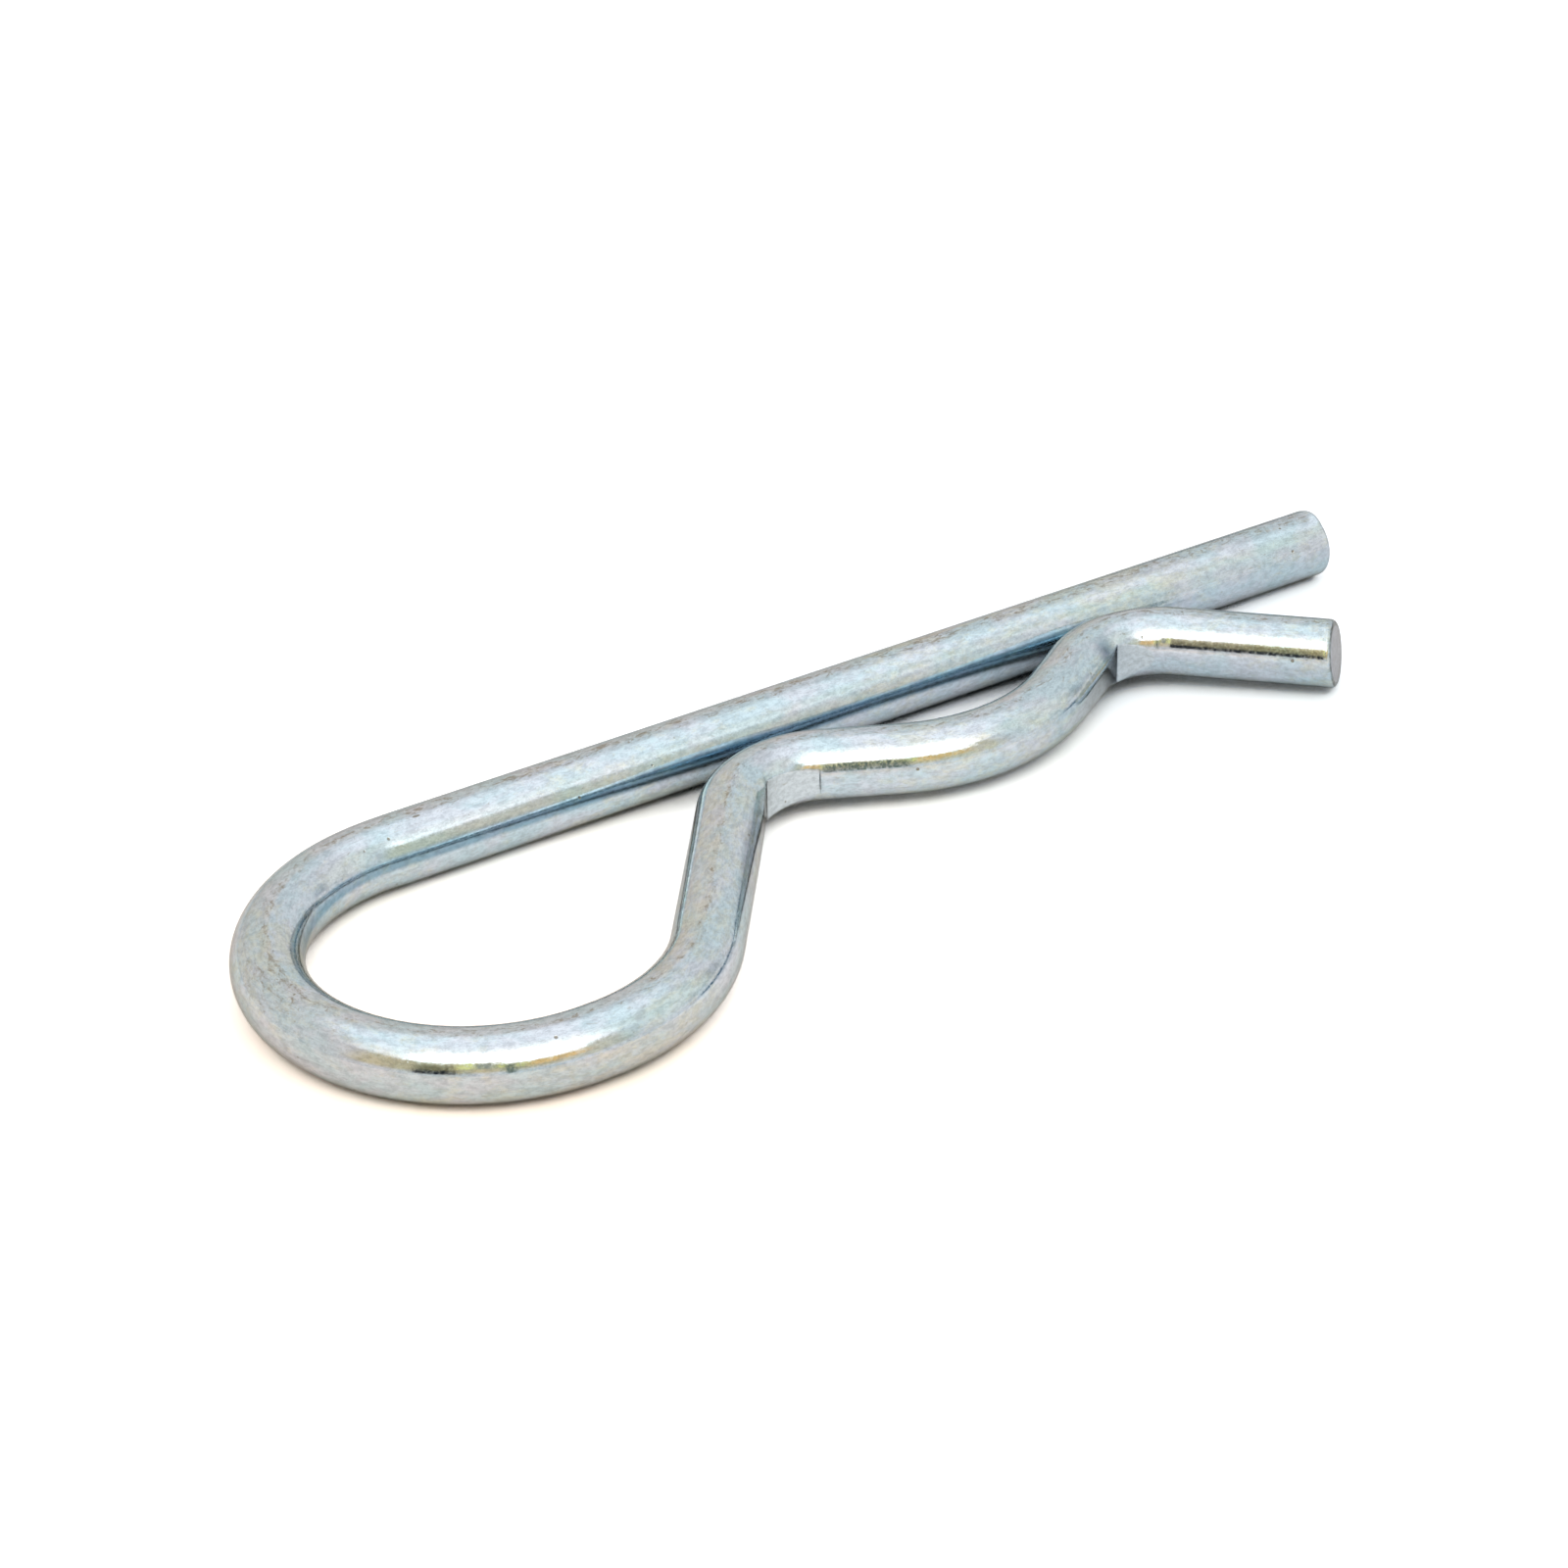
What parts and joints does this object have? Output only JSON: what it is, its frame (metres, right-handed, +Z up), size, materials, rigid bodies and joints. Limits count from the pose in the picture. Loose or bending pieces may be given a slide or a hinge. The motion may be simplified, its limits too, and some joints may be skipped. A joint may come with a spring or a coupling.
{
  "type": "hitch r clip pin",
  "caption": "Bent spring-wire R clip whose straight leg passes through a hitch pin's cross hole while the shaped leg snaps over the pin.",
  "frame": {"origin": "centre of the bounding box's footprint, on the surface that the clip lies on", "axes": "+X along the straight leg towards its tip, +Y from the shaped leg towards the straight leg, +Z up out of the flat of the clip"},
  "size_m": [0.0951, 0.0332, 0.0056],
  "materials": {
    "wire": "bright zinc plated, clear blue passivated"
  },
  "bodies": {
    "root": {"wire": "wire"}
  },
  "joints": []
}
